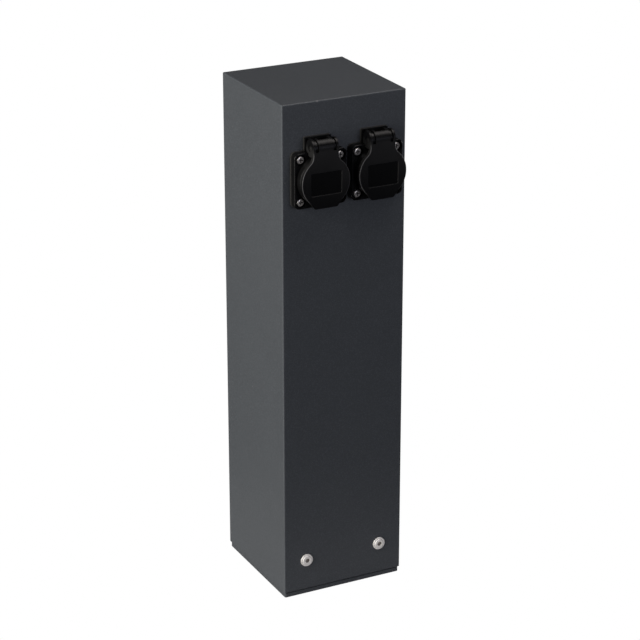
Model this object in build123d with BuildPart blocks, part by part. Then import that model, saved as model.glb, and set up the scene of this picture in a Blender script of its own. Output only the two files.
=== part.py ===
from build123d import *
import os

# A garden socket post: a square metal housing on a base plate, with two lidded sockets.
# Millimetres. Origin: centre of the base plate's underside. +Z is up, -Y is the front.

# Housing
post_width = 120
post_depth = 120
post_height = 470
wall = 2
edge_radius = 1
housing_lift = 5.3

# Base plate with its upstands
base_inset = 1
base_thickness = 4
base_corner_radius = 1.5
upstand_width = 100
upstand_height = 52
upstand_thickness = 3
upstand_corner_radius = 6
upstand_gap = 0.3
anchor_spacing = 80
anchor_hole_radius = 4.5

# Housing screws and the weld nuts behind the upstands
housing_screw_spacing = 75
housing_screw_height = 34.5
housing_screw_radius = 3
housing_screw_length = 13
screw_flange_radius = 6
screw_flange_thickness = 1.2
screw_flange_rounding = 0.5
screw_dome_radius = 4.7
screw_dome_height = 0.7
screw_dome_slope = 45
screw_dome_rounding = 0.2
screw_socket_flats = 4
screw_socket_depth = 1.8
bolt_gap = 0.3
thread_gap = 0.05
weld_nut_flats = 10
weld_nut_thickness = 5

# Cable grommet in the base plate
grommet_bore_radius = 6.2
grommet_waist_radius = 11
grommet_flange_radius = 14
grommet_flange_thickness = 1.2
grommet_nose_radius = 9
grommet_nose_height = 3.5
grommet_rounding = 0.5
grommet_sunk = 0.2
grommet_gap = 0.1

# Socket places on the front face
socket_pitch = 55
socket_drop = 67
cutout_gap = 0.4

# Flange, gasket and flange screws
gasket_thickness = 2.2
flange_size = 50
flange_corner_radius = 4.5
flange_front = 9
flange_edge_radius = 0.8
flange_screw_pitch = 38
flange_screw_radius = 2
flange_screw_head_radius = 3.5
flange_screw_head_height = 2.7
flange_screw_head_rounding = 1.3
counterbore_radius = 5.2
counterbore_depth = 3
cross_length = 4.2
cross_width = 1
cross_depth = 1.4
flange_nut_flats = 7
flange_nut_thickness = 3.2

# Collar, recess and barrel of a socket
collar_radius = 22.8
collar_front = 15.5
collar_edge_radius = 0.5
recess_radius = 19.7
recess_depth = 17.5
barrel_radius = 22
barrel_back = 24
ledge_thickness = 2
ledge_bore_radius = 17.5

# Lid hinge: out is forward of the housing's face, up is above the socket's centre
hinge_out = 12.2
hinge_up = 29.7
knuckle_radius = 7.6
neck_width = 24
tab_width = 25
tab_top = 37
tab_thickness = 2
tab_corner_radius = 1
lug_radius = 6.5
lug_inner = 7.4
lug_outer = 9.6
lug_gap = 0.45
relief_gap = 0.35
pin_radius = 1.5
pin_gap = 0.12
pin_seat_gap = 0.02
pin_end_radius = 3.1
pin_end_depth = 0.8
pin_end_gap = 0.2

# Lid
lid_radius = 23
lid_gap = 0.4
lid_edge_radius = 0.4
neck_fillet_radius = 9
lip_width = 24.5
lip_reach = 23.3
lip_corner_radius = 3
slot_bottom = 27.4
cavity_radius = 19.2
cavity_depth = 2
label_width = 30
label_height = 21
label_corner_radius = 1.8
label_drop = 1
label_depth = 0.35
label_slope = 35

# Lid seal
seal_inner_radius = 20
seal_outer_radius = 22
seal_groove_gap = 0.1
seal_groove_depth = 1.2
seal_gap = 0.1

# Lid spring in the knuckle
spring_radius = 3.1
spring_wire_radius = 0.4
spring_pitch = 1.4
spring_turns = 5
spring_rest_gap = 0.1
spring_seat_depth = 1.4
spring_slot_width = 2.4
spring_slot_height = 1.4
pocket_radius = 4.6
pocket_half_width = 5.2
pocket_lip_out = 2

# Contact insert and its screw
insert_gap = 0.1
insert_edge_radius = 0.4
pin_hole_spacing = 19
pin_hole_radius = 2.6
pin_hole_depth = 3
chamber_gap = 0.3
insert_screw_radius = 1.5
insert_screw_hole_radius = 1.7
insert_screw_head_radius = 3
insert_screw_head_height = 1.6
insert_screw_sunk = 0.2
insert_screw_end_gap = 0.8
slot_cut_width = 0.8
slot_cut_depth = 0.9

# Live contacts and the contact screws
contact_radius = 3.6
contact_bore_radius = 2.35
contact_slit = 0.8
contact_back = 20
block_top = 3
block_height = 10
block_width = 7
block_front = 13
block_back = 21
wire_drop = 6.6
contact_screw_drop = 10.6
contact_screw_radius = 1.4
contact_screw_head_radius = 2.4
contact_screw_head_height = 1.6
contact_screw_length = 6
wire_hole_depth = 4.5

# Earth clip
clip_thickness = 0.8
clip_width = 5
clip_reach = 18.3
clip_bulge_reach = 16.9
clip_tip_out = 9
clip_bulge_out = 4
clip_waist_back = 1
clip_bend_radius = 1
clip_slot_gap = 0.3
earth_block_rise = 6
earth_block_height = 9
earth_block_depth = 6.5
earth_wire_rise = 8.4
earth_screw_rise = 12.3

# Rear cover
cover_back = 33
cover_wall = 1.8
cover_edge_radius = 1
cover_boss_radius = 3.4
cover_boss_gap = 0.2
cover_hole_gap = 0.5

# Terminal bracket on the base plate
bracket_face = 15.5
bracket_thickness = 1.5
bracket_length = 60
bracket_top = 122
bracket_foot = 18
bracket_bend_radius = 2
bracket_screw_spacing = 40
bracket_screw_radius = 2
bracket_screw_head_radius = 3.9
bracket_screw_head_height = 2.2
bracket_screw_head_rounding = 0.8

# Terminal block: three poles in a row from front to back
pole_pitch = 13
pole_centre = 5
block_body_width = 18
block_body_height = 18
block_body_bottom = 88
block_body_ends = 6
block_body_rounding = 0.8
clamp_length = 10.6
clamp_depth = 7
clamp_height = 16
clamp_gap = 0.15
clamp_hole_radius = 1.7
clamp_hole_depth = 6
clamp_hole_spacing = 5.4
clamp_screw_radius = 1.6
clamp_screw_access_radius = 2
clamp_screw_rise = 4.5
clamp_screw_out = 7.5
block_screw_radius = 1.5
block_screw_head_radius = 2.7
block_screw_head_height = 1.8
block_screw_sunk = 3
block_screw_inset = 3.2

# Strain-relief bar on the bracket
relief_height = 52
relief_bar_length = 34
relief_bar_height = 9
relief_bar_thickness = 2
relief_bow_radius = 6.4
relief_screw_spacing = 26
relief_screw_radius = 1.5
relief_screw_head_radius = 2.7
relief_screw_head_height = 1.8

# Earth stud, its nuts and its lug on the base plate
stud_x = -36
stud_radius = 2.5
stud_height = 15
stud_nut_flats = 8
stud_nut_thickness = 4
lug_ring_radius = 4.8
lug_thickness = 1
lug_tongue_width = 4
lug_barrel_radius = 2.3
lug_barrel_start = 6
lug_barrel_length = 8

# Wires
wire_radius = 1.4
wire_gap = 0.15
wire_seat = 3.6
wire_rise = 34
wire_fall = 74
wire_sweep_radius = 110
wire_bend_radius = 15
bond_fall = 20
bond_start_x = -11
bond_sweep_radius = 40
bond_bend_radius = 8

# One overrun for all cuts
overrun = 1

# Places that follow from the sizes above
front_y = -post_depth / 2
socket_height = post_height - socket_drop
cutout_radius = barrel_radius + cutout_gap
flange_hole_radius = flange_screw_radius + bolt_gap
recess_floor = recess_depth - collar_front
insert_back = barrel_back - ledge_thickness
insert_radius = recess_radius - insert_gap
lid_back = collar_front + lid_gap
lid_front = hinge_out + knuckle_radius
cover_floor = cover_back - cover_wall
wire_hole_radius = wire_radius + wire_gap
block_body_length = pole_pitch * 3 + block_body_ends * 2
clamp_bottom = block_body_bottom + (block_body_height - clamp_height) / 2
clamp_top = clamp_bottom + clamp_height
clamp_middle = clamp_bottom + clamp_height / 2
lug_z = base_thickness + stud_nut_thickness
bond_y = pole_centre + clamp_hole_spacing / 2
pole_x = bracket_face - block_body_width / 2
bracket_screw_x = bracket_face + (bracket_foot + bracket_bend_radius) / 2

front = Plane(origin=(0, front_y, 0), x_dir=(1, 0, 0), z_dir=(0, -1, 0))
back = Plane(origin=(0, -front_y, 0), x_dir=(-1, 0, 0), z_dir=(0, 1, 0))
bracket_side = Plane(origin=(bracket_face, pole_centre, 0), x_dir=(0, -1, 0), z_dir=(-1, 0, 0))
relief_side = Plane(origin=(bracket_face, 0, 0), x_dir=(0, -1, 0), z_dir=(-1, 0, 0))
socket_centres = {"left": -socket_pitch / 2, "right": socket_pitch / 2}
housing_screw_places = [
    (-housing_screw_spacing / 2, housing_screw_height),
    (housing_screw_spacing / 2, housing_screw_height),
]
flange_screw_places = [
    (x * flange_screw_pitch / 2, y * flange_screw_pitch / 2) for x in (-1, 1) for y in (-1, 1)
]
pole_places = [pole_centre + row * pole_pitch for row in (-1, 0, 1)]

os.makedirs("parts", exist_ok=True)


def save(piece, name):
    """Labels a finished piece and writes its file."""
    piece.part.label = name
    export_step(piece.part, f"parts/{name}.step")


def rear_plane(face):
    """The same place as a socket's plane, but facing into the housing."""
    return Plane(origin=face.origin, x_dir=-face.x_dir, z_dir=-face.z_dir)


def profile_plane(face):
    """The plane that cuts a socket in two from top to bottom: x is out, y is up."""
    return Plane(origin=face.origin, x_dir=face.z_dir, z_dir=-face.x_dir)


def top_edges(piece, seat):
    """The edges of a piece that lie furthest out from its seat."""
    return piece.edges().group_by(Axis(seat.origin, seat.z_dir))[-1]


def pan_screws(seat, places, head_radius, head_height, rounding, shank_radius, length):
    """Pan-head screws with a cross recess, seated on a plane."""
    with BuildPart() as screws:
        with BuildSketch(seat):
            with Locations(*places):
                Circle(head_radius)
        extrude(amount=head_height)
        fillet(top_edges(screws, seat), rounding)
        with BuildSketch(seat):
            with Locations(*places):
                Circle(shank_radius)
        extrude(amount=-length)
        with BuildSketch(seat.offset(head_height)):
            with Locations(*places):
                Rectangle(cross_length, cross_width)
                Rectangle(cross_width, cross_length)
        extrude(amount=-cross_depth, mode=Mode.SUBTRACT)
    return screws


def slotted_screws(seat, places, head_radius, head_height, shank_radius, length):
    """Cheese-head screws with a straight slot, seated on a plane."""
    with BuildPart() as screws:
        with BuildSketch(seat):
            with Locations(*places):
                Circle(head_radius)
        extrude(amount=head_height)
        with BuildSketch(seat):
            with Locations(*places):
                Circle(shank_radius)
        extrude(amount=-length)
        with BuildSketch(seat.offset(head_height)):
            with Locations(*places):
                Rectangle(head_radius * 2 + overrun, slot_cut_width)
        extrude(amount=-slot_cut_depth, mode=Mode.SUBTRACT)
    return screws


def hex_nuts(seat, places, flats, thickness, bore_radius):
    """Hexagon nuts that stand on a plane."""
    with BuildPart() as nuts:
        with BuildSketch(seat):
            with Locations(*places):
                RegularPolygon(flats / 2, 6, major_radius=False)
                Circle(bore_radius, mode=Mode.SUBTRACT)
        extrude(amount=thickness)
    return nuts


# Post housing: a square shell with a closed top and an open bottom
with BuildPart() as post_housing:
    with BuildSketch(Plane.XY.offset(housing_lift)):
        RectangleRounded(post_width, post_depth, edge_radius)
    extrude(amount=post_height - housing_lift)
    fillet(post_housing.edges().group_by(Axis.Z)[-1], edge_radius)
    with BuildSketch(Plane.XY.offset(housing_lift)):
        Rectangle(post_width - wall * 2, post_depth - wall * 2)
    extrude(amount=post_height - wall - housing_lift, mode=Mode.SUBTRACT)
    with BuildSketch(front):
        with Locations(*[(x, socket_height) for x in socket_centres.values()]):
            Circle(cutout_radius)
            with Locations(*flange_screw_places):
                Circle(flange_hole_radius)
    extrude(amount=-wall - overrun, mode=Mode.SUBTRACT)
    for wall_face in (front, back):
        with BuildSketch(wall_face):
            with Locations(*housing_screw_places):
                Circle(housing_screw_radius + bolt_gap)
        extrude(amount=-wall - overrun, mode=Mode.SUBTRACT)
save(post_housing, "post_housing")

# Base plate: a thin square plate with two welded upstands that the housing is screwed to
with BuildPart() as base_plate:
    with BuildSketch():
        RectangleRounded(post_width - base_inset * 2, post_depth - base_inset * 2, base_corner_radius)
    extrude(amount=base_thickness)
    for wall_face in (front, back):
        with BuildSketch(wall_face.offset(-wall - upstand_gap)) as upstand:
            Rectangle(upstand_width, base_thickness + upstand_height, align=(Align.CENTER, Align.MIN))
            fillet(upstand.vertices().group_by(Axis.Y)[-1], upstand_corner_radius)
            with Locations(*housing_screw_places):
                Circle(housing_screw_radius + bolt_gap, mode=Mode.SUBTRACT)
        extrude(amount=-upstand_thickness)
    with BuildSketch():
        with GridLocations(anchor_spacing, anchor_spacing, 2, 2):
            Circle(anchor_hole_radius)
        Circle(grommet_waist_radius + grommet_gap)
    extrude(amount=base_thickness, mode=Mode.SUBTRACT)
    with BuildSketch():
        Circle(grommet_flange_radius + grommet_gap)
    extrude(amount=grommet_sunk + grommet_flange_thickness + grommet_gap, mode=Mode.SUBTRACT)
    with BuildSketch(Plane.XY.offset(base_thickness)):
        with Locations((bracket_screw_x, pole_centre)):
            with GridLocations(0, bracket_screw_spacing, 1, 2):
                Circle(bracket_screw_radius + thread_gap)
    extrude(amount=-base_thickness, mode=Mode.SUBTRACT)
save(base_plate, "base_plate")

# Weld nuts on the inner faces of the upstands
with BuildPart() as weld_nuts:
    for wall_face in (front, back):
        inner_face = wall_face.offset(-wall - upstand_gap - upstand_thickness)
        with BuildSketch(inner_face):
            with Locations(*housing_screw_places):
                RegularPolygon(weld_nut_flats / 2, 6, major_radius=False)
                Circle(housing_screw_radius + thread_gap, mode=Mode.SUBTRACT)
        extrude(amount=-weld_nut_thickness)
save(weld_nuts, "weld_nuts")

# Housing screws: low domed heads on a flange, with a hexagon socket
with BuildPart() as housing_screws:
    for wall_face in (front, back):
        with BuildSketch(wall_face):
            with Locations(*housing_screw_places):
                Circle(screw_flange_radius)
        extrude(amount=screw_flange_thickness)
        fillet(top_edges(housing_screws, wall_face), screw_flange_rounding)
        with BuildSketch(wall_face.offset(screw_flange_thickness)):
            with Locations(*housing_screw_places):
                Circle(screw_dome_radius)
        extrude(amount=screw_dome_height, taper=screw_dome_slope)
        fillet(top_edges(housing_screws, wall_face), screw_dome_rounding)
        with BuildSketch(wall_face):
            with Locations(*housing_screw_places):
                Circle(housing_screw_radius)
        extrude(amount=-housing_screw_length)
        with BuildSketch(wall_face.offset(screw_flange_thickness + screw_dome_height)):
            with Locations(*housing_screw_places):
                RegularPolygon(screw_socket_flats / 2, 6, major_radius=False)
        extrude(amount=-screw_socket_depth, mode=Mode.SUBTRACT)
save(housing_screws, "housing_screws")

# Cable grommet: a rubber ring that grips the edge of the base plate's hole
grommet_seat = base_thickness + grommet_gap
with BuildPart() as cable_grommet:
    with BuildSketch(Plane.XY.offset(grommet_sunk)):
        Circle(grommet_flange_radius)
    extrude(amount=grommet_flange_thickness)
    with BuildSketch(Plane.XY.offset(grommet_sunk)):
        Circle(grommet_waist_radius)
    extrude(amount=grommet_seat - grommet_sunk)
    with BuildSketch(Plane.XY.offset(grommet_seat)):
        Circle(grommet_flange_radius)
    extrude(amount=grommet_flange_thickness)
    fillet(top_edges(cable_grommet, Plane.XY), grommet_rounding)
    with BuildSketch(Plane.XY.offset(grommet_seat + grommet_flange_thickness)):
        Circle(grommet_nose_radius)
    extrude(amount=grommet_nose_height)
    fillet(top_edges(cable_grommet, Plane.XY), grommet_rounding)
    with BuildSketch():
        Circle(grommet_bore_radius)
    extrude(amount=grommet_seat + grommet_flange_thickness + grommet_nose_height, mode=Mode.SUBTRACT)
save(cable_grommet, "cable_grommet")

# Terminal bracket: bent sheet, its foot screwed to the base plate
bracket_middle = bracket_thickness / 2
bracket_start = pole_centre - bracket_length / 2
with BuildPart() as terminal_bracket:
    with BuildSketch(Plane.XZ.offset(-bracket_start)):
        with BuildLine():
            FilletPolyline(
                (bracket_face + bracket_middle, bracket_top),
                (bracket_face + bracket_middle, base_thickness + bracket_middle),
                (bracket_face + bracket_foot, base_thickness + bracket_middle),
                radius=bracket_bend_radius,
            )
        trace(line_width=bracket_thickness)
    extrude(amount=-bracket_length)
    with BuildSketch(Plane.XY.offset(base_thickness)):
        with Locations((bracket_screw_x, pole_centre)):
            with GridLocations(0, bracket_screw_spacing, 1, 2):
                Circle(bracket_screw_radius + bolt_gap)
    extrude(amount=bracket_thickness + overrun, mode=Mode.SUBTRACT)
    with BuildSketch(relief_side):
        with Locations((0, relief_height)):
            with GridLocations(relief_screw_spacing, 0, 2, 1):
                Circle(relief_screw_radius + thread_gap)
    extrude(amount=-bracket_thickness - overrun, mode=Mode.SUBTRACT)
    with BuildSketch(bracket_side):
        with Locations((0, clamp_middle)):
            with GridLocations(block_body_length - block_screw_inset * 2, 0, 2, 1):
                Circle(block_screw_radius + thread_gap)
    extrude(amount=-bracket_thickness - overrun, mode=Mode.SUBTRACT)
save(terminal_bracket, "terminal_bracket")

bracket_screws = pan_screws(
    Plane.XY.offset(base_thickness + bracket_thickness),
    [(bracket_screw_x, pole_centre + side * bracket_screw_spacing / 2) for side in (-1, 1)],
    bracket_screw_head_radius,
    bracket_screw_head_height,
    bracket_screw_head_rounding,
    bracket_screw_radius,
    base_thickness + bracket_thickness - grommet_sunk,
)
save(bracket_screws, "bracket_screws")

# Terminal block: moulded body with a brass clamp for each pole
with BuildPart() as terminal_block:
    with BuildSketch(bracket_side):
        with Locations((0, clamp_middle)):
            Rectangle(block_body_length, block_body_height)
    extrude(amount=block_body_width)
    fillet(terminal_block.edges().filter_by(Axis.X), block_body_rounding)
    with BuildSketch(Plane.XY.offset(block_body_bottom)):
        for pole_y in pole_places:
            with Locations((pole_x, pole_y)):
                Rectangle(clamp_depth + clamp_gap * 2, clamp_length + clamp_gap * 2)
    extrude(amount=block_body_height, mode=Mode.SUBTRACT)
    with BuildSketch(bracket_side.offset(block_body_width)):
        with Locations((0, clamp_middle)):
            with GridLocations(pole_pitch, 0, 3, 1):
                with GridLocations(clamp_hole_spacing, clamp_screw_rise * 2, 2, 2):
                    Circle(clamp_screw_access_radius)
    extrude(amount=-block_body_width / 2, mode=Mode.SUBTRACT)
    with BuildSketch(bracket_side.offset(block_body_width)):
        with Locations((0, clamp_middle)):
            with GridLocations(block_body_length - block_screw_inset * 2, 0, 2, 1):
                Circle(block_screw_head_radius + bolt_gap)
    extrude(amount=-block_screw_sunk, mode=Mode.SUBTRACT)
    with BuildSketch(bracket_side):
        with Locations((0, clamp_middle)):
            with GridLocations(block_body_length - block_screw_inset * 2, 0, 2, 1):
                Circle(block_screw_radius + bolt_gap)
    extrude(amount=block_body_width, mode=Mode.SUBTRACT)
save(terminal_block, "terminal_block")

block_screws = slotted_screws(
    bracket_side.offset(block_body_width - block_screw_sunk),
    [(side * (block_body_length / 2 - block_screw_inset), clamp_middle) for side in (-1, 1)],
    block_screw_head_radius,
    block_screw_head_height,
    block_screw_radius,
    block_body_width - block_screw_sunk + bracket_thickness + overrun,
)
save(block_screws, "block_screws")

with BuildPart() as terminal_clamps:
    with BuildSketch(Plane.XY.offset(clamp_bottom)):
        for pole_y in pole_places:
            with Locations((pole_x, pole_y)):
                Rectangle(clamp_depth, clamp_length)
    extrude(amount=clamp_height)
    for hole_start, hole_depth in ((clamp_bottom, clamp_hole_depth), (clamp_top, -clamp_hole_depth)):
        with BuildSketch(Plane.XY.offset(hole_start)):
            for pole_y in pole_places:
                with Locations((pole_x, pole_y)):
                    with GridLocations(0, clamp_hole_spacing, 1, 2):
                        Circle(clamp_hole_radius)
        extrude(amount=hole_depth, mode=Mode.SUBTRACT)
    with BuildSketch(bracket_side.offset(block_body_width)):
        with Locations((0, clamp_middle)):
            with GridLocations(pole_pitch, 0, 3, 1):
                with GridLocations(clamp_hole_spacing, clamp_screw_rise * 2, 2, 2):
                    Circle(clamp_screw_radius + thread_gap)
    extrude(amount=-block_body_width / 2, mode=Mode.SUBTRACT)
save(terminal_clamps, "terminal_clamps")

with BuildPart() as clamp_screws:
    with BuildSketch(bracket_side.offset(block_body_width / 2 + wire_radius + thread_gap)):
        with Locations((0, clamp_middle)):
            with GridLocations(pole_pitch, 0, 3, 1):
                with GridLocations(clamp_hole_spacing, clamp_screw_rise * 2, 2, 2):
                    Circle(clamp_screw_radius)
    extrude(amount=clamp_screw_out - wire_radius - thread_gap)
    with BuildSketch(bracket_side.offset(block_body_width / 2 + clamp_screw_out)):
        with Locations((0, clamp_middle)):
            with GridLocations(pole_pitch, 0, 3, 1):
                with GridLocations(clamp_hole_spacing, clamp_screw_rise * 2, 2, 2):
                    Rectangle(clamp_screw_radius * 2 + overrun, slot_cut_width)
    extrude(amount=-slot_cut_depth, mode=Mode.SUBTRACT)
save(clamp_screws, "clamp_screws")

# Strain-relief bar: a bowed strap that clamps the supply cable to the bracket
with BuildPart() as strain_relief_bar:
    with BuildSketch(Plane.XY.offset(relief_height - relief_bar_height / 2)):
        with Locations((bracket_face, 0)):
            Rectangle(relief_bar_thickness, relief_bar_length, align=(Align.MAX, Align.CENTER))
            Circle(relief_bow_radius + relief_bar_thickness)
            Circle(relief_bow_radius, mode=Mode.SUBTRACT)
            Rectangle(
                relief_bar_length, relief_bar_length, align=(Align.MIN, Align.CENTER), mode=Mode.SUBTRACT
            )
    extrude(amount=relief_bar_height)
    with BuildSketch(relief_side):
        with Locations((0, relief_height)):
            with GridLocations(relief_screw_spacing, 0, 2, 1):
                Circle(relief_screw_radius + bolt_gap)
    extrude(amount=relief_bar_thickness + overrun, mode=Mode.SUBTRACT)
save(strain_relief_bar, "strain_relief_bar")

relief_screws = slotted_screws(
    relief_side.offset(relief_bar_thickness),
    [(side * relief_screw_spacing / 2, relief_height) for side in (-1, 1)],
    relief_screw_head_radius,
    relief_screw_head_height,
    relief_screw_radius,
    relief_bar_thickness + bracket_thickness + overrun,
)
save(relief_screws, "relief_screws")

# Earth stud on the base plate, with a nut below and above the ring lug
with BuildPart() as earth_stud:
    with BuildSketch(Plane.XY.offset(base_thickness)):
        with Locations((stud_x, bond_y)):
            Circle(stud_radius)
    extrude(amount=stud_height)
save(earth_stud, "earth_stud")

with BuildPart() as earth_nuts:
    for nut_z in (base_thickness, lug_z + lug_thickness):
        with BuildSketch(Plane.XY.offset(nut_z)):
            with Locations((stud_x, bond_y)):
                RegularPolygon(stud_nut_flats / 2, 6, major_radius=False)
                Circle(stud_radius + thread_gap, mode=Mode.SUBTRACT)
        extrude(amount=stud_nut_thickness)
save(earth_nuts, "earth_nuts")

lug_barrel_z = lug_z + lug_barrel_radius
lug_barrel_x = stud_x + lug_barrel_start
with BuildPart() as earth_lug:
    with BuildSketch(Plane.XY.offset(lug_z)):
        with Locations((stud_x, bond_y)):
            Circle(lug_ring_radius)
            Rectangle(
                lug_barrel_start + lug_barrel_radius, lug_tongue_width, align=(Align.MIN, Align.CENTER)
            )
            Circle(stud_radius + thread_gap, mode=Mode.SUBTRACT)
    extrude(amount=lug_thickness)
    with BuildSketch(Plane.YZ.offset(lug_barrel_x)):
        with Locations((bond_y, lug_barrel_z)):
            Circle(lug_barrel_radius)
    extrude(amount=lug_barrel_length)
    with BuildSketch(Plane.YZ.offset(lug_barrel_x + lug_barrel_length)):
        with Locations((bond_y, lug_barrel_z)):
            Circle(wire_hole_radius)
    extrude(amount=-lug_barrel_length / 2 - wire_gap, mode=Mode.SUBTRACT)
save(earth_lug, "earth_lug")


def socket_wires(terminal_x, terminal_rise, terminal_back, pole_y):
    """One wire to each socket: up from the terminal block, then forward into the rear cover."""
    with BuildPart() as wires:
        for side, centre_x in socket_centres.items():
            away = -1 if side == "left" else 1
            start_y = pole_y + away * clamp_hole_spacing / 2
            end_x = centre_x + terminal_x
            end_z = socket_height + terminal_rise
            with BuildLine() as route:
                FilletPolyline(
                    (pole_x, start_y, clamp_top - wire_seat),
                    (pole_x, start_y, clamp_top + wire_rise),
                    (end_x, start_y, end_z - wire_fall),
                    (end_x, start_y, end_z),
                    (end_x, front_y + terminal_back - wire_seat, end_z),
                    radius=(wire_sweep_radius, wire_sweep_radius, wire_bend_radius),
                )
            with BuildSketch(Plane(origin=route.line @ 0, z_dir=route.line % 0)):
                Circle(wire_radius)
            sweep()
    return wires


earth_block_back = insert_back + earth_block_depth
wire_runs = {
    "live_wires": (-pin_hole_spacing / 2, -wire_drop, block_back, pole_places[0]),
    "earth_wires": (0, earth_wire_rise, earth_block_back, pole_places[1]),
    "neutral_wires": (pin_hole_spacing / 2, -wire_drop, block_back, pole_places[2]),
}
for wire_name, run in wire_runs.items():
    save(socket_wires(*run), wire_name)

# Bonding wire: from the earth pole down to the lug on the base plate
with BuildPart() as bonding_wire:
    with BuildLine() as bond_route:
        FilletPolyline(
            (pole_x, bond_y, clamp_bottom + wire_seat),
            (pole_x, bond_y, clamp_bottom - bond_fall),
            (bond_start_x, bond_y, lug_barrel_z),
            (lug_barrel_x + lug_barrel_length / 2, bond_y, lug_barrel_z),
            radius=(bond_sweep_radius, bond_bend_radius),
        )
    with BuildSketch(Plane(origin=bond_route.line @ 0, z_dir=bond_route.line % 0)):
        Circle(wire_radius)
    sweep()
save(bonding_wire, "bonding_wire")


def make_gasket(face):
    """Rubber layer under the flange and the hinge's back plate."""
    with BuildPart() as gasket:
        with BuildSketch(face) as outline:
            Rectangle(tab_width, tab_top, align=(Align.CENTER, Align.MIN))
            fillet(outline.vertices().group_by(Axis.Y)[-1], tab_corner_radius)
            RectangleRounded(flange_size, flange_size, flange_corner_radius)
            Circle(cutout_radius, mode=Mode.SUBTRACT)
            with Locations(*flange_screw_places):
                Circle(flange_hole_radius, mode=Mode.SUBTRACT)
        extrude(amount=gasket_thickness)
    return gasket


def make_socket_body(face):
    """Moulded flange with collar, barrel, hinge back plate and two hinge lugs."""
    profile = profile_plane(face)
    with BuildPart() as socket_body:
        with BuildSketch(face.offset(gasket_thickness)):
            RectangleRounded(flange_size, flange_size, flange_corner_radius)
        extrude(amount=flange_front - gasket_thickness)
        fillet(top_edges(socket_body, face), flange_edge_radius)
        with BuildSketch(face.offset(gasket_thickness)) as back_plate:
            Rectangle(tab_width, tab_top, align=(Align.CENTER, Align.MIN))
            fillet(back_plate.vertices().group_by(Axis.Y)[-1], tab_corner_radius)
        extrude(amount=tab_thickness)
        with BuildSketch(face.offset(flange_front)):
            Circle(collar_radius)
        extrude(amount=collar_front - flange_front)
        fillet(top_edges(socket_body, face), collar_edge_radius)
        with BuildSketch(face.offset(gasket_thickness)):
            Circle(barrel_radius)
        extrude(amount=-gasket_thickness - barrel_back)
        with BuildSketch(profile):
            with Locations((hinge_out, hinge_up)):
                Circle(knuckle_radius + relief_gap)
        extrude(amount=neck_width / 2 + relief_gap, both=True, mode=Mode.SUBTRACT)
        for start in (lug_inner, -lug_outer):
            with BuildSketch(profile.offset(start)):
                with Locations((hinge_out, hinge_up)):
                    Circle(lug_radius)
                    Rectangle(hinge_out - gasket_thickness, lug_radius * 2, align=(Align.MAX, Align.CENTER))
            extrude(amount=lug_outer - lug_inner)
        with BuildSketch(profile):
            with Locations((hinge_out, hinge_up)):
                Circle(pin_radius + pin_seat_gap)
        extrude(amount=neck_width / 2, both=True, mode=Mode.SUBTRACT)
        with BuildSketch(face.offset(collar_front)):
            Circle(recess_radius)
        extrude(amount=-collar_front - insert_back, mode=Mode.SUBTRACT)
        with BuildSketch(face.offset(-insert_back)):
            Circle(ledge_bore_radius)
        extrude(amount=-ledge_thickness - overrun, mode=Mode.SUBTRACT)
        with BuildSketch(face.offset(flange_front)):
            with Locations(*flange_screw_places):
                Circle(counterbore_radius)
        extrude(amount=-counterbore_depth, mode=Mode.SUBTRACT)
        with BuildSketch(face):
            with Locations(*flange_screw_places):
                Circle(flange_hole_radius)
        extrude(amount=flange_front, mode=Mode.SUBTRACT)
    return socket_body


def make_contact_insert(face):
    """Moulded insert: the two-pin face, with chambers behind it for the contacts."""
    with BuildPart() as insert:
        with BuildSketch(face.offset(-insert_back)):
            Circle(insert_radius)
        extrude(amount=insert_back - recess_floor)
        fillet(top_edges(insert, face), insert_edge_radius)
        with BuildSketch(face.offset(-recess_floor)):
            with GridLocations(pin_hole_spacing, 0, 2, 1):
                Circle(pin_hole_radius)
            Circle(insert_screw_hole_radius)
        extrude(amount=recess_floor - insert_back, mode=Mode.SUBTRACT)
        with BuildSketch(face.offset(-recess_floor)):
            Circle(insert_screw_head_radius + bolt_gap)
        extrude(amount=-insert_screw_sunk - insert_screw_head_height, mode=Mode.SUBTRACT)
        with BuildSketch(face.offset(-insert_back)):
            with GridLocations(pin_hole_spacing, 0, 2, 1):
                Circle(contact_radius + chamber_gap)
        extrude(amount=insert_back - recess_floor - pin_hole_depth, mode=Mode.SUBTRACT)
        with BuildSketch(face.offset(-insert_back)):
            with Locations((0, -block_top + chamber_gap)):
                with GridLocations(pin_hole_spacing, 0, 2, 1):
                    Rectangle(
                        block_width + chamber_gap * 2,
                        block_height + chamber_gap * 2,
                        align=(Align.CENTER, Align.MAX),
                    )
        extrude(amount=insert_back - block_front + chamber_gap, mode=Mode.SUBTRACT)
        with BuildSketch(face.offset(-recess_floor)):
            with GridLocations(0, clip_reach * 2, 1, 2):
                Rectangle(clip_width + clip_slot_gap * 2, clip_thickness + clip_slot_gap * 2)
        extrude(amount=recess_floor - insert_back, mode=Mode.SUBTRACT)
        with BuildSketch(face.offset(-insert_back)):
            Rectangle(clip_width + clip_slot_gap * 2, clip_reach * 2)
        extrude(amount=clip_thickness + clip_slot_gap, mode=Mode.SUBTRACT)
    return insert


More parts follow.
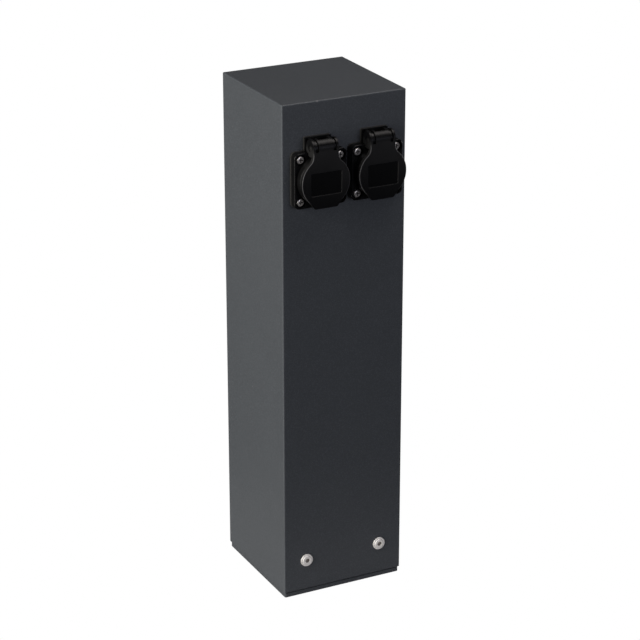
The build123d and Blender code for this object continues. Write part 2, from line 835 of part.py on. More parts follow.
def make_live_contacts(face):
    """Two slit brass sleeves for the plug's pins, each with its terminal block."""
    with BuildPart() as contacts:
        with BuildSketch(face.offset(-contact_back)):
            with GridLocations(pin_hole_spacing, 0, 2, 1):
                Circle(contact_radius)
        extrude(amount=contact_back - recess_floor - pin_hole_depth - chamber_gap)
        with BuildSketch(face.offset(-block_back)):
            with Locations((0, -block_top)):
                with GridLocations(pin_hole_spacing, 0, 2, 1):
                    Rectangle(block_width, block_height, align=(Align.CENTER, Align.MAX))
        extrude(amount=block_back - block_front)
        with BuildSketch(face.offset(-contact_back)):
            with GridLocations(pin_hole_spacing, 0, 2, 1):
                Circle(contact_bore_radius)
                Rectangle(contact_slit, contact_radius + overrun, align=(Align.CENTER, Align.MIN))
        extrude(amount=contact_back, mode=Mode.SUBTRACT)
        with BuildSketch(face.offset(-block_back)):
            with Locations((0, -wire_drop)):
                with GridLocations(pin_hole_spacing, 0, 2, 1):
                    Circle(wire_hole_radius)
        extrude(amount=wire_hole_depth, mode=Mode.SUBTRACT)
        with BuildSketch(face.offset(-block_back)):
            with Locations((0, -contact_screw_drop)):
                with GridLocations(pin_hole_spacing, 0, 2, 1):
                    Circle(contact_screw_radius + thread_gap)
        extrude(amount=block_back - block_front, mode=Mode.SUBTRACT)
    return contacts


def make_earth_clip(face):
    """Sprung strip with a tip at the recess's top and bottom, joined behind the insert."""
    bar_out = -insert_back + clip_thickness / 2
    upper = [
        (clip_tip_out, clip_reach),
        (clip_bulge_out, clip_bulge_reach),
        (-clip_waist_back, clip_reach),
        (bar_out, clip_reach),
    ]
    lower = [(out, -up) for out, up in reversed(upper)]
    with BuildPart() as clip:
        with BuildSketch(profile_plane(face)):
            with BuildLine():
                FilletPolyline(*upper, *lower, radius=clip_bend_radius)
            trace(line_width=clip_thickness)
        extrude(amount=clip_width / 2, both=True)
        with BuildSketch(face.offset(-insert_back)):
            with Locations((0, earth_block_rise)):
                Rectangle(block_width, earth_block_height, align=(Align.CENTER, Align.MIN))
        extrude(amount=-earth_block_depth)
        with BuildSketch(face.offset(-insert_back)):
            Circle(insert_screw_hole_radius)
        extrude(amount=clip_thickness + overrun, mode=Mode.SUBTRACT)
        with BuildSketch(face.offset(-earth_block_back)):
            with Locations((0, earth_wire_rise)):
                Circle(wire_hole_radius)
        extrude(amount=wire_hole_depth, mode=Mode.SUBTRACT)
        with BuildSketch(face.offset(-earth_block_back)):
            with Locations((0, earth_screw_rise)):
                Circle(contact_screw_radius + thread_gap)
        extrude(amount=contact_screw_length + thread_gap, mode=Mode.SUBTRACT)
    return clip


def make_contact_screws(face):
    """The three terminal screws of a socket."""
    rear = rear_plane(face)
    shape = (
        contact_screw_head_radius,
        contact_screw_head_height,
        contact_screw_radius,
        contact_screw_length,
    )
    live_places = [(side * pin_hole_spacing / 2, -contact_screw_drop) for side in (-1, 1)]
    live = slotted_screws(rear.offset(block_back), live_places, *shape)
    earth = slotted_screws(rear.offset(earth_block_back), [(0, earth_screw_rise)], *shape)
    with BuildPart() as screws:
        add(live.part)
        add(earth.part)
    return screws


def make_rear_cover(face):
    """Cup that closes the back of the barrel, with a boss for the insert's screw."""
    with BuildPart() as cover:
        with BuildSketch(face.offset(-barrel_back)):
            Circle(barrel_radius)
        extrude(amount=barrel_back - cover_back)
        fillet(top_edges(cover, rear_plane(face)), cover_edge_radius)
        with BuildSketch(face.offset(-barrel_back)):
            Circle(barrel_radius - cover_wall)
        extrude(amount=barrel_back - cover_floor, mode=Mode.SUBTRACT)
        with BuildSketch(face.offset(-insert_back - cover_boss_gap)):
            Circle(cover_boss_radius)
        extrude(amount=insert_back + cover_boss_gap - cover_floor)
        with BuildSketch(face.offset(-insert_back - cover_boss_gap)):
            Circle(insert_screw_radius + thread_gap)
        extrude(amount=insert_back + cover_boss_gap - cover_floor, mode=Mode.SUBTRACT)
        with BuildSketch(face.offset(-cover_floor)):
            with Locations((0, -wire_drop)):
                with GridLocations(pin_hole_spacing, 0, 2, 1):
                    Circle(wire_radius + cover_hole_gap)
            with Locations((0, earth_wire_rise)):
                Circle(wire_radius + cover_hole_gap)
        extrude(amount=-cover_wall, mode=Mode.SUBTRACT)
    return cover


def make_lid(face):
    """Round lid with its neck, knuckle, cheeks, lift lip and sunk label field."""
    profile = profile_plane(face)
    with BuildPart() as lid:
        with BuildSketch(face.offset(lid_back)) as outline:
            Circle(lid_radius)
            with Locations((0, lip_corner_radius - lip_reach)):
                with GridLocations(lip_width - lip_corner_radius * 2, 0, 2, 1):
                    Circle(lip_corner_radius)
            make_hull(outline.edges())
            Rectangle(neck_width, hinge_up, align=(Align.CENTER, Align.MIN))
            fillet(outline.vertices().group_by(Axis.Y)[-2], neck_fillet_radius)
        extrude(amount=lid_front - lid_back)
        fillet(top_edges(lid, face).sort_by(Axis.Z)[:-1], lid_edge_radius)
        with BuildSketch(profile):
            with Locations((hinge_out, hinge_up)):
                Circle(knuckle_radius)
        extrude(amount=neck_width / 2, both=True)
        for start in (lug_inner - lug_gap, -lug_outer - lug_gap):
            with BuildSketch(profile.offset(start)):
                with Locations((hinge_out, slot_bottom)):
                    Rectangle(lid_radius, lid_radius, align=(Align.CENTER, Align.MIN))
                with Locations((hinge_out, hinge_up)):
                    Circle(knuckle_radius)
            extrude(amount=lug_outer - lug_inner + lug_gap * 2, mode=Mode.SUBTRACT)
        with BuildSketch(profile):
            with Locations((hinge_out, hinge_up)):
                Circle(pocket_radius)
                with Locations((pocket_lip_out, 0)):
                    Rectangle(knuckle_radius * 2, knuckle_radius * 2, align=(Align.MAX, Align.CENTER))
        extrude(amount=pocket_half_width, both=True, mode=Mode.SUBTRACT)
        with BuildSketch(profile):
            with Locations((hinge_out, hinge_up)):
                Circle(pin_radius + pin_gap)
        extrude(amount=neck_width / 2, both=True, mode=Mode.SUBTRACT)
        for start, depth in ((neck_width / 2, -pin_end_depth), (-neck_width / 2, pin_end_depth)):
            with BuildSketch(profile.offset(start)):
                with Locations((hinge_out, hinge_up)):
                    Circle(pin_end_radius)
            extrude(amount=depth, mode=Mode.SUBTRACT)
        with BuildSketch(face.offset(lid_back)):
            Circle(cavity_radius)
        extrude(amount=cavity_depth, mode=Mode.SUBTRACT)
        with BuildSketch(face.offset(lid_back)):
            Circle(seal_outer_radius + seal_groove_gap)
            Circle(seal_inner_radius - seal_groove_gap, mode=Mode.SUBTRACT)
        extrude(amount=seal_groove_depth, mode=Mode.SUBTRACT)
        with BuildSketch(face.offset(hinge_out)):
            with Locations((0, hinge_up - spring_radius)):
                Rectangle(spring_pitch * spring_turns + spring_slot_width, spring_slot_height)
        extrude(amount=lid_back - hinge_out + spring_seat_depth, mode=Mode.SUBTRACT)
        with BuildSketch(face.offset(lid_front)):
            with Locations((0, -label_drop)):
                RectangleRounded(label_width, label_height, label_corner_radius)
        extrude(amount=-label_depth, taper=label_slope, mode=Mode.SUBTRACT)
    return lid


def make_lid_seal(face):
    """Flat rubber ring in the lid's groove, just clear of the collar when shut."""
    with BuildPart() as seal:
        with BuildSketch(face.offset(collar_front + seal_gap)):
            Circle(seal_outer_radius)
            Circle(seal_inner_radius, mode=Mode.SUBTRACT)
        extrude(amount=lid_gap - seal_gap + seal_groove_depth)
    return seal


def make_hinge_pin(face):
    """Plain pin through the lid's cheeks, the body's lugs and the knuckle."""
    with BuildPart() as pin:
        with BuildSketch(profile_plane(face)):
            with Locations((hinge_out, hinge_up)):
                Circle(pin_radius)
        extrude(amount=neck_width / 2 - pin_end_depth - pin_end_gap, both=True)
    return pin


def make_lid_spring(face):
    """Torsion spring: one leg rests on the back plate, the other sits in the lid."""
    profile = profile_plane(face)
    coil_length = spring_pitch * spring_turns
    coil_start = profile.from_local_coords((hinge_out, hinge_up, -coil_length / 2))
    coil_plane = Plane(origin=coil_start, x_dir=-profile.y_dir, z_dir=profile.z_dir)
    rest_leg = hinge_out - gasket_thickness - tab_thickness - spring_rest_gap
    lid_leg = lid_back + spring_seat_depth - hinge_out - spring_rest_gap
    coil = coil_plane * Helix(spring_pitch, coil_length, spring_radius)
    with BuildPart() as spring:
        with BuildSketch(Plane(origin=coil @ 0, z_dir=coil % 0)):
            Circle(spring_wire_radius)
        sweep(path=coil, is_frenet=True)
        with BuildSketch(Plane(origin=coil @ 0, z_dir=coil % 0)):
            Circle(spring_wire_radius)
        extrude(amount=-rest_leg)
        with BuildSketch(Plane(origin=coil @ 1, z_dir=coil % 1)):
            Circle(spring_wire_radius)
        extrude(amount=lid_leg)
    return spring


def make_flange_screws(face):
    """Four pan-head screws in the flange's counterbores."""
    return pan_screws(
        face.offset(flange_front - counterbore_depth),
        flange_screw_places,
        flange_screw_head_radius,
        flange_screw_head_height,
        flange_screw_head_rounding,
        flange_screw_radius,
        flange_front - counterbore_depth + wall + flange_nut_thickness + overrun,
    )


def make_flange_nuts(face):
    """Four nuts on the housing's inner face."""
    return hex_nuts(
        rear_plane(face).offset(wall),
        flange_screw_places,
        flange_nut_flats,
        flange_nut_thickness,
        flange_screw_radius + thread_gap,
    )


def make_insert_screw(face):
    """Screw through the insert and the earth clip into the rear cover's boss."""
    seat_back = recess_floor + insert_screw_sunk + insert_screw_head_height
    return slotted_screws(
        face.offset(-seat_back),
        [(0, 0)],
        insert_screw_head_radius,
        insert_screw_head_height,
        insert_screw_radius,
        cover_floor - insert_screw_end_gap - seat_back,
    )


socket_pieces = {
    "gasket": make_gasket,
    "socket_body": make_socket_body,
    "contact_insert": make_contact_insert,
    "live_contacts": make_live_contacts,
    "earth_clip": make_earth_clip,
    "contact_screws": make_contact_screws,
    "rear_cover": make_rear_cover,
    "insert_screw": make_insert_screw,
    "flange_screws": make_flange_screws,
    "flange_nuts": make_flange_nuts,
    "lid": make_lid,
    "lid_seal": make_lid_seal,
    "hinge_pin": make_hinge_pin,
    "lid_spring": make_lid_spring,
}
for side, centre_x in socket_centres.items():
    socket_face = Plane(origin=(centre_x, front_y, socket_height), x_dir=(1, 0, 0), z_dir=(0, -1, 0))
    for piece_name, make_piece in socket_pieces.items():
        save(make_piece(socket_face), f"{piece_name}_{side}")
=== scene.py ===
import math

import bpy
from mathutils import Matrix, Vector


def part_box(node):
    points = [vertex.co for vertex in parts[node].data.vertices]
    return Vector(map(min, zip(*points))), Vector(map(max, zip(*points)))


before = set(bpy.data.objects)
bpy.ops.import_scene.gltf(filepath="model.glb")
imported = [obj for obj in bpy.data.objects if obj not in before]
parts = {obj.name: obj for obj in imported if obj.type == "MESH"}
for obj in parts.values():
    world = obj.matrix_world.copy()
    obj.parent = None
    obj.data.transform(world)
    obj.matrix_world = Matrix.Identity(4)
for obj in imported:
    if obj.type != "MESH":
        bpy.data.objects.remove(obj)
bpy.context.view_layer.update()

# The camera looks down at the post's front left edge, from a little above its top.
# Its stand point and its lens were worked out from the post's corners in the photograph.
camera_place = (-0.880, -1.7464, 1.0147)
camera_turn = -26.92
camera_tilt = 21.52
camera_lens = 129.4
sensor_width = 36
sight_length = 50
bpy.ops.object.select_all(action="DESELECT")
bpy.ops.object.camera_add(
    location=camera_place,
    rotation=(math.radians(90 - camera_tilt), 0, math.radians(camera_turn)),
)
camera = bpy.context.object
camera.data.lens = camera_lens
camera.data.sensor_width = sensor_width
camera.data.clip_end = sight_length
bpy.context.scene.camera = camera

# The studio is a white table, a large soft box at the left, one overhead, and weak fill in front
# and behind, where it only reaches the two sides that the photograph doesn't show.
# The table is two sheets: a white one that only the camera sees, and a small grey one just below
# it, under the post, that shows in its reflections and keeps the dark plastic dark.
table_size = 30
bounce_size = 0.36
seen_drop = 0.0002
bounce_drop = 0.002
bounce_grey = 0.4


def make_table(name, size, drop, grey, glow):
    bpy.ops.mesh.primitive_plane_add(size=size, location=(0, 0, -drop))
    table = bpy.context.object
    table.name = name
    paper = bpy.data.materials.new(name)
    paper.use_nodes = True
    surface = paper.node_tree.nodes["Principled BSDF"]
    surface.inputs["Base Color"].default_value = (grey, grey, grey, 1)
    surface.inputs["Roughness"].default_value = 1
    surface.inputs["Specular IOR Level"].default_value = 0
    surface.inputs["Emission Color"].default_value = (1, 1, 1, 1)
    surface.inputs["Emission Strength"].default_value = glow
    table.data.materials.append(paper)
    return table


seen_table = make_table("table_seen", table_size, seen_drop, grey=0, glow=1)
seen_table.visible_diffuse = False
seen_table.visible_glossy = False
seen_table.visible_shadow = False
bounce_table = make_table("table_bounce", bounce_size, bounce_drop, bounce_grey, glow=0)
bounce_table.visible_camera = False

backdrop_white = (1, 1, 1, 1)
room_grey = (0.04, 0.041, 0.043, 1)
bpy.context.scene.view_settings.view_transform = "Standard"
world = bpy.data.worlds.new("studio")
world.use_nodes = True
bpy.context.scene.world = world
room = world.node_tree.nodes["Background"]
room.inputs["Strength"].default_value = 1
light_path = world.node_tree.nodes.new("ShaderNodeLightPath")
room_mix = world.node_tree.nodes.new("ShaderNodeMix")
room_mix.data_type = "RGBA"
room_mix.inputs[6].default_value = room_grey
room_mix.inputs[7].default_value = backdrop_white
world.node_tree.links.new(light_path.outputs["Is Camera Ray"], room_mix.inputs[0])
world.node_tree.links.new(room_mix.outputs[2], room.inputs["Color"])


def hang_soft_box(name, place, aim_height, width, height, power, colour=(1, 1, 1)):
    bpy.ops.object.light_add(type="AREA", location=place)
    light = bpy.context.object
    light.name = name
    light.data.shape = "RECTANGLE"
    light.data.size = width
    light.data.size_y = height
    light.data.energy = power
    light.data.color = colour
    direction = Vector((0, 0, aim_height)) - Vector(place)
    light.rotation_euler = direction.to_track_quat("-Z", "Y").to_euler()


hang_soft_box(
    "left_box",
    place=(-2.0, -0.1, 0.7),
    aim_height=0.25,
    width=1.6,
    height=1.8,
    power=90,
    colour=(0.97, 0.935, 0.895),
)
hang_soft_box(
    "top_box",
    place=(0.35, -0.2, 1.7),
    aim_height=0.3,
    width=1.1,
    height=0.9,
    power=14,
    colour=(1, 0.94, 0.92),
)
hang_soft_box(
    "front_fill",
    place=(0.3, -3.0, 0.9),
    aim_height=0.2,
    width=1.6,
    height=1.2,
    power=21,
    colour=(0.835, 0.85, 1),
)
hang_soft_box(
    "back_fill", place=(2.7, 1.0, 0.2), aim_height=0.2, width=1.6, height=0.6, power=24
)


# Post housing: a square shell bent and welded from sheet, closed at the top and open below.
# It is anthracite powder coat all over: a matt grain that stays fine, thinner along the edges,
# with a few pale specks and one small nick on the front edge of the top.
class Shade:
    """An output of a material's nodes. Sums on it add Math nodes, and add() any other node."""

    def __init__(self, tree, socket=None):
        self.tree = tree
        self.socket = socket

    def add(self, kind, settings, inputs, output=0):
        node = self.tree.nodes.new(kind)
        for name, value in settings.items():
            setattr(node, name, value)
        for name, value in inputs.items():
            if isinstance(value, Shade):
                self.tree.links.new(value.socket, node.inputs[name])
            else:
                node.inputs[name].default_value = value
        return Shade(self.tree, node.outputs[output])

    def maths(self, operation, *values):
        return self.add("ShaderNodeMath", {"operation": operation}, dict(enumerate(values)))

    def __add__(self, other):
        return self.maths("ADD", self, other)

    __radd__ = __add__

    def __sub__(self, other):
        return self.maths("SUBTRACT", self, other)

    def __rsub__(self, other):
        return self.maths("SUBTRACT", other, self)

    def __mul__(self, other):
        return self.maths("MULTIPLY", self, other)

    __rmul__ = __mul__

    def __pow__(self, other):
        return self.maths("POWER", self, other)

    def __abs__(self):
        return self.maths("ABSOLUTE", self)

    def step(self, low, high):
        """0 below low, 1 above high and smooth between them."""
        return self.add(
            "ShaderNodeMapRange",
            {"interpolation_type": "SMOOTHSTEP"},
            {"Value": self, "From Min": low, "From Max": high},
        )


def smaller(first, second):
    return first.maths("MINIMUM", first, second)


def larger(first, second):
    return first.maths("MAXIMUM", first, second)


def start_finish(name):
    """A new material, its surface shader and its object coordinates."""
    finish = bpy.data.materials.new(name)
    finish.use_nodes = True
    tree = finish.node_tree
    places = Shade(tree, tree.nodes.new("ShaderNodeTexCoord").outputs["Object"])
    return finish, tree.nodes["Principled BSDF"], places


def split(places):
    """The x, y and z of a material's coordinates."""
    axes = places.tree.nodes.new("ShaderNodeSeparateXYZ")
    places.tree.links.new(places.socket, axes.inputs[0])
    return [Shade(places.tree, socket) for socket in axes.outputs]


def noise(places, size, detail=2, roughness=0.5):
    """Noise whose spots are about that many metres across, from 0 to 1."""
    return places.add(
        "ShaderNodeTexNoise",
        {},
        {"Vector": places, "Scale": 1 / size, "Detail": detail, "Roughness": roughness},
    )


def blend(factor, first, second):
    """One colour that turns into another as the factor goes from 0 to 1."""
    first, second = (
        colour if isinstance(colour, Shade) else (*colour, 1) for colour in (first, second)
    )
    return factor.add(
        "ShaderNodeMix", {"data_type": "RGBA"}, {0: factor, 6: first, 7: second}, output=2
    )


def set_surface(surface, colour, roughness, height, grain_depth):
    """Joins a colour, a roughness and a height field to a material's shader."""
    tree = colour.tree
    tree.links.new(colour.socket, surface.inputs["Base Color"])
    tree.links.new(roughness.socket, surface.inputs["Roughness"])
    bump = height.add("ShaderNodeBump", {}, {"Height": height, "Distance": grain_depth})
    tree.links.new(bump.socket, surface.inputs["Normal"])


def dress(names, finish):
    for name in names:
        parts[name].data.materials.clear()
        parts[name].data.materials.append(finish)


def make_powder_coat():
    grain_size, cloud_size = 0.0009, 0.05
    coat_depth = 0.00012
    edge_start, edge_end = 0.0003, 0.0022
    nick_x, nick_width = -0.0262, 0.0011
    nick_start, nick_end = 0.0004, 0.002
    speck_spacing = 0.02
    speck_core, speck_rim = 0.014, 0.022
    dark_body, pale_body = (0.0335, 0.0380, 0.0430), (0.0385, 0.0435, 0.0490)
    pale_grain, thin_edge = (0.064, 0.071, 0.079), (0.10, 0.11, 0.12)
    bare_nick, bright_speck = (0.25, 0.25, 0.25), (0.16, 0.165, 0.17)

    low, high = (Vector(corner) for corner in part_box("post_housing"))
    finish, surface, places = start_finish("anthracite_powder_coat")
    x, y, z = split(places)
    grain = noise(places, grain_size, 3, 0.6)
    cloud = noise(places, cloud_size, 3)
    side_gap = high.x - abs(x)
    face_gap = high.y - abs(y)
    top_gap = high.z - z
    upright = 1 - (side_gap + face_gap).step(edge_start, edge_end)
    rim = 1 - (top_gap + smaller(side_gap, face_gap)).step(edge_start, edge_end)
    nick = (1 - abs(x - nick_x).step(nick_width / 2, nick_width)) * (
        1 - (top_gap + (y + high.y)).step(nick_start, nick_end)
    )
    speck = places.add("ShaderNodeTexVoronoi", {}, {"Vector": places, "Scale": 1 / speck_spacing})

    colour = blend(cloud, dark_body, pale_body)
    colour = blend(grain.step(0.45, 0.68) * 0.6, colour, pale_grain)
    colour = blend(larger(upright, rim) * 0.12, colour, thin_edge)
    colour = blend(nick * 0.35, colour, bare_nick)
    colour = blend(0.8 - 0.8 * speck.step(speck_core, speck_rim), colour, bright_speck)
    roughness = 0.5 + 0.12 * grain + 0.25 * upright - 0.1 * rim
    set_surface(surface, colour, roughness, grain + 0.4 * cloud, coat_depth)
    surface.inputs["Specular IOR Level"].default_value = 0.4
    return finish


powder_coat = make_powder_coat()
dress(["post_housing"], powder_coat)

# Base plate: a thinner square plate with two upstands, coated like the housing.
# The four anchor holes and the cable's hole are cut before it is coated.
dress(["base_plate"], powder_coat)


# Housing screws: stainless button heads on a flange, turned on a lathe and tumbled.
# Fine rings run round each head, and the hexagon socket is pressed in and darkened by some dirt
# and by painted shade.
def make_screw_steel():
    hexagon_start, hexagon_end = 0.0021, 0.0025
    dirt_and_shade_start, dirt_and_shade_end = 0.0002, 0.0006
    ring_size, stain_size = 0.00025, 0.004
    ring_depth = 0.00004
    dark_ring, pale_ring = (0.80, 0.78, 0.75), (0.90, 0.88, 0.84)
    stained, dirt_and_shade = (0.60, 0.58, 0.55), (0.12, 0.09, 0.065)

    low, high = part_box("housing_screws")
    head_radius = (high.z - low.z) / 2
    screw_x, screw_z = high.x - head_radius, high.z - head_radius
    finish, surface, places = start_finish("turned_stainless")
    x, y, z = split(places)
    out = ((abs(x) - screw_x) ** 2 + (z - screw_z) ** 2) ** 0.5
    sunk = high.y - abs(y)
    inside = (1 - out.step(hexagon_start, hexagon_end)) * sunk.step(dirt_and_shade_start, dirt_and_shade_end)
    ring = noise(out.add("ShaderNodeCombineXYZ", {}, {0: out}), ring_size)
    stain = noise(places, stain_size, 3)

    colour = blend(ring, dark_ring, pale_ring)
    colour = blend(stain.step(0.5, 0.8) * 0.25, colour, stained)
    # Some dirt and painted shade darken the walls and floor of the hexagon socket.
    colour = blend(inside * 0.75, colour, dirt_and_shade)
    set_surface(surface, colour, 0.36 + 0.12 * ring + 0.06 * stain, ring, ring_depth)
    surface.inputs["Metallic"].default_value = 0.55
    return finish


dress(["housing_screws"], make_screw_steel())


# Steelwork inside the post: weld nuts, terminal bracket, earth stud and small screws.
# Zinc plate, a little cloudy, with the rolled sheet's upright grain below it.
def make_zinc_plate():
    cloud_size, streak_size = 0.006, 0.0004
    streak_stretch = 0.05
    streak_depth = 0.00003
    dull_zinc, clear_zinc = (0.46, 0.47, 0.47), (0.62, 0.62, 0.60)

    finish, surface, places = start_finish("zinc_plate")
    cloud = noise(places, cloud_size, 4, 0.6)
    rolled = places.add(
        "ShaderNodeMapping", {}, {"Vector": places, "Scale": (1, 1, streak_stretch)}
    )
    streak = noise(rolled, streak_size)
    colour = blend(cloud, dull_zinc, clear_zinc)
    set_surface(surface, colour, 0.34 + 0.2 * cloud, streak, streak_depth)
    surface.inputs["Metallic"].default_value = 1
    return finish


zinc_plate = make_zinc_plate()
dress(
    ["weld_nuts", "terminal_bracket", "bracket_screws", "strain_relief_bar", "relief_screws"]
    + ["block_screws", "clamp_screws", "earth_stud", "earth_nuts"],
    zinc_plate,
)


# Cable grommet: soft black rubber, pressed into the base plate's hole.
# Its skin is dull, with a bloom of paler dust in the moulding's grain.
def make_rubber(name, dark, pale, grain_size):
    bloom_size = 0.007
    grain_depth = 0.00005
    finish, surface, places = start_finish(name)
    grain = noise(places, grain_size, 3, 0.6)
    bloom = noise(places, bloom_size, 3)
    set_surface(surface, blend(bloom, dark, pale), 0.66 + 0.18 * grain, grain, grain_depth)
    surface.inputs["Specular IOR Level"].default_value = 0.35
    return finish


grommet_rubber = make_rubber(
    "grommet_rubber", dark=(0.010, 0.010, 0.010), pale=(0.022, 0.022, 0.021), grain_size=0.0006
)
dress(["cable_grommet"], grommet_rubber)


# Terminal block: a pale moulded body with plain brass clamps in it.
# The plastic is slightly see-through in life, so it is given a warm, waxy white.
def make_moulding(name, dark, pale, roughness, grain_size, grain_depth):
    flow_size = 0.02
    finish, surface, places = start_finish(name)
    grain = noise(places, grain_size)
    flow = noise(places, flow_size, 3)
    set_surface(surface, blend(flow, dark, pale), roughness + 0.1 * grain, grain, grain_depth)
    return finish


def make_brass():
    tarnish_size, scratch_size = 0.004, 0.0003
    scratch_depth = 0.00002
    tarnished, clean = (0.62, 0.43, 0.16), (0.78, 0.60, 0.28)
    finish, surface, places = start_finish("plain_brass")
    tarnish = noise(places, tarnish_size, 4, 0.6)
    scratch = noise(places, scratch_size)
    colour = blend(tarnish, tarnished, clean)
    set_surface(surface, colour, 0.28 + 0.2 * tarnish, scratch, scratch_depth)
    surface.inputs["Metallic"].default_value = 1
    return finish


brass = make_brass()
block_moulding = make_moulding(
    "block_moulding",
    dark=(0.62, 0.60, 0.54),
    pale=(0.72, 0.70, 0.64),
    roughness=0.38,
    grain_size=0.0005,
    grain_depth=0.00002,
)
dress(["terminal_block"], block_moulding)
dress(["terminal_clamps"], brass)

# Earth lug: a ring terminal stamped from copper sheet and tinned, crimped on the bonding wire.
# The tin is soft and dull, so it has no bright reflections.
tinned_copper = make_moulding(
    "tinned_copper",
    dark=(0.50, 0.50, 0.49),
    pale=(0.62, 0.61, 0.59),
    roughness=0.35,
    grain_size=0.0004,
    grain_depth=0.00002,
)
dress(["earth_lug"], tinned_copper)


# Wires: solid copper in extruded sleeves, brown, blue, and green with yellow.
# They run from the block up behind the sockets, and one goes down to the earth stud.
def make_sleeve(name, first, second):
    wave_size, wave_depth = 0.0012, 0.00003
    stripes_per_metre = 2200
    finish, surface, places = start_finish(name)
    x, y, z = split(places)
    wave = noise(places, wave_size)
    stripe = x.maths("SINE", (x + 0.6 * y) * stripes_per_metre).step(-0.1, 0.1)
    set_surface(surface, blend(stripe, first, second), 0.4 + 0.1 * wave, wave, wave_depth)
    return finish


brown, blue = (0.14, 0.055, 0.022), (0.02, 0.09, 0.42)
green, yellow = (0.03, 0.27, 0.05), (0.72, 0.56, 0.03)
dress(["live_wires"], make_sleeve("brown_sleeve", brown, brown))
dress(["neutral_wires"], make_sleeve("blue_sleeve", blue, blue))
dress(["earth_wires", "bonding_wire"], make_sleeve("earth_sleeve", green, yellow))

# Gaskets: the flat rubber sheet under each flange and hinge plate, cut with the same outline.
# It shows as a paler grey line all round the black moulding.
sides = ("left", "right")
gasket_rubber = make_rubber(
    "gasket_rubber", dark=(0.010, 0.0095, 0.0085), pale=(0.016, 0.015, 0.014), grain_size=0.0008
)
dress([f"gasket_{side}" for side in sides], gasket_rubber)

# Socket bodies: black glass-filled plastic moulded in one with the flange, collar and lugs.
# The mould was spark eroded, which leaves an even fine satin grain over slower flow marks.
plastic_black = (0.0013, 0.0013, 0.0014)
plastic_depth = 0.000015


def plastic_marks(places):
    """The grain and the flow marks of the black mouldings, and the roughness that they add."""
    grain_size, flow_size = 0.00035, 0.012
    grain = noise(places, grain_size, 3, 0.6)
    flow = noise(places, flow_size, 4, 0.55)
    return grain, flow, 0.08 * grain + 0.05 * flow


def make_socket_plastic():
    flow_black = (0.0043, 0.0043, 0.0043)
    finish, surface, places = start_finish("socket_plastic")
    grain, flow, satin = plastic_marks(places)
    colour = blend(flow, plastic_black, flow_black)
    set_surface(surface, colour, 0.26 + satin, grain, plastic_depth)
    surface.inputs["Specular IOR Level"].default_value = 0.15
    return finish


socket_plastic = make_socket_plastic()
dress([f"socket_body_{side}" for side in sides], socket_plastic)

# Contact inserts and rear covers: the same plastic, with brass contacts and earth clips,
# and plated screws for the wires and for holding the insert to the cover.
for side in sides:
    dress([f"contact_insert_{side}", f"rear_cover_{side}"], socket_plastic)
    dress([f"live_contacts_{side}", f"earth_clip_{side}"], brass)
    dress([f"contact_screws_{side}", f"insert_screw_{side}"], zinc_plate)


# Flange screws: bright pan heads with a cross recess, four in each flange's counterbores.
# They are polished stainless steel, with painted shade down in the cross, and their nuts behind
# the panel are plated.
def make_bright_steel():
    head_radius = 0.0035
    cross_start, cross_end = 0.0021, 0.0025
    sunk_start, sunk_end = 0.0002, 0.0008
    polish_size, stain_size = 0.0005, 0.003
    polish_depth = 0.00002
    stained, polished = (0.56, 0.53, 0.49), (0.72, 0.685, 0.64)
    cross_painted_shade = (0.04, 0.035, 0.03)

    low, high = (Vector(corner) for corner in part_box("flange_screws_right"))
    middle = (low + high) / 2
    screw_reach = high.x - middle.x - head_radius
    finish, surface, places = start_finish("bright_stainless")
    x, y, z = split(places)
    across = abs(abs(x) - middle.x) - screw_reach
    up = abs(z - middle.z) - screw_reach
    out = (across**2 + up**2) ** 0.5
    inside = (1 - out.step(cross_start, cross_end)) * (y - low.y).step(sunk_start, sunk_end)
    polish = noise(places, polish_size)
    stain = noise(places, stain_size, 3)

    colour = blend(stain, stained, polished)
    # Painted shade: the cross recess is darkened.
    colour = blend(inside * 0.9, colour, cross_painted_shade)
    set_surface(surface, colour, 0.24 + 0.12 * stain, polish, polish_depth)
    surface.inputs["Metallic"].default_value = 0.85
    return finish


bright_steel = make_bright_steel()
for side in sides:
    dress([f"flange_screws_{side}"], bright_steel)
    dress([f"flange_nuts_{side}"], zinc_plate)
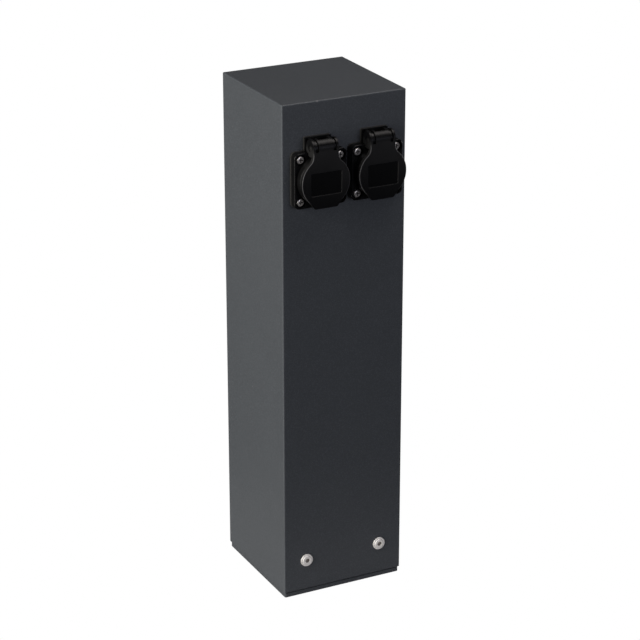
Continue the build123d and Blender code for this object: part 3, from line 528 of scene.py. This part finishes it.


# Lids: one moulding each, with neck, knuckle, lift lip and a sunk field that stays bare.
# Painted light makes the face paler towards the neck and fades again on the knuckle, the field
# is polished and mostly kept out of that painted light, and a painted highlight runs pale round
# the disc's rounded rim and up the two hollows where it meets the neck.
def make_lid_plastic():
    lid_x, lid_z = 0.0275, 0.403
    disc_start, disc_end = 0.0223, 0.0227
    hollow_x, hollow_z = 0.021, 0.0241
    hollow_start, hollow_end = 0.0093, 0.0097
    neck_start, neck_end = 0.0172, 0.0174
    lip_end, lip_start = -0.018, -0.014
    rim_start, rim_end = 0.0004, 0.0007
    field_z, field_width, field_height, field_step = 0.402, 0.030, 0.021, 0.0003
    bevel_middle, bevel_start, bevel_end = 0.0002, 0.0003, 0.0006
    painted_light_start, painted_light_end = -0.023, 0.034
    knuckle_start, knuckle_end = 0.028, 0.034
    painted_light_black, painted_rim_highlight = (0.0121, 0.0121, 0.0121), (0.05, 0.05, 0.051)

    lid_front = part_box("lid_left")[0][1]
    finish, surface, places = start_finish("lid_plastic")
    x, y, z = split(places)
    grain, flow, satin = plastic_marks(places)
    across = x.maths("FLOORED_MODULO", x, 2 * lid_x) - lid_x
    up_field = z - field_z
    up_lid = z - lid_z

    out_of_field = larger(abs(across) - field_width / 2, abs(up_field) - field_height / 2)
    field = 1 - out_of_field.step(-field_step, 0)
    bevel = 1 - abs(out_of_field + bevel_middle).step(bevel_start, bevel_end)
    # Painted light: the face is made paler from the lip up towards the neck, a little more to the
    # right, and it fades again on the knuckle.
    painted_light = (0.3 * across + up_field).step(painted_light_start, painted_light_end)
    painted_light = painted_light * (1 - up_field.step(knuckle_start, knuckle_end))

    # Painted highlight: a thin band along the front edge of the disc's rounded rim and up the
    # hollows beside the neck.
    disc = (across**2 + up_lid**2) ** 0.5
    hollow = ((abs(across) - hollow_x) ** 2 + (up_lid - hollow_z) ** 2) ** 0.5
    on_neck = up_lid.step(neck_start, neck_end)
    disc_rim = disc.step(disc_start, disc_end) * (1 - on_neck) * up_lid.step(lip_end, lip_start)
    neck_rim = (1 - hollow.step(hollow_start, hollow_end)) * on_neck
    rim = larger(disc_rim, neck_rim) * (1 - (y - lid_front).step(rim_start, rim_end))

    # The painted light is mostly kept off the field and varied a little by the flow marks.
    share = painted_light * (1 - 0.82 * field) * (0.8 + 0.4 * flow)
    # The rim's painted highlight goes over the face's colour.
    colour = blend(rim, blend(share, plastic_black, painted_light_black), painted_rim_highlight)
    roughness = 0.30 + satin + 0.2 * bevel - 0.08 * field
    set_surface(surface, colour, roughness, grain, plastic_depth)
    surface.inputs["Specular IOR Level"].default_value = 0.16
    return finish


lid_plastic = make_lid_plastic()
for side in sides:
    dress([f"lid_{side}"], lid_plastic)

# Hinge pins, lid springs and lid seals: each pin is blackened steel, and the bright spring
# round it shuts the lid. The seal is a flat rubber ring in a groove under the lid.
pin_oxide = make_moulding(
    "pin_oxide",
    dark=(0.008, 0.008, 0.008),
    pale=(0.016, 0.016, 0.015),
    roughness=0.35,
    grain_size=0.0004,
    grain_depth=0.00001,
)
seal_rubber = make_rubber(
    "seal_rubber", dark=(0.014, 0.014, 0.014), pale=(0.024, 0.024, 0.023), grain_size=0.0005
)
for side in sides:
    dress([f"hinge_pin_{side}"], pin_oxide)
    dress([f"lid_spring_{side}"], bright_steel)
    dress([f"lid_seal_{side}"], seal_rubber)
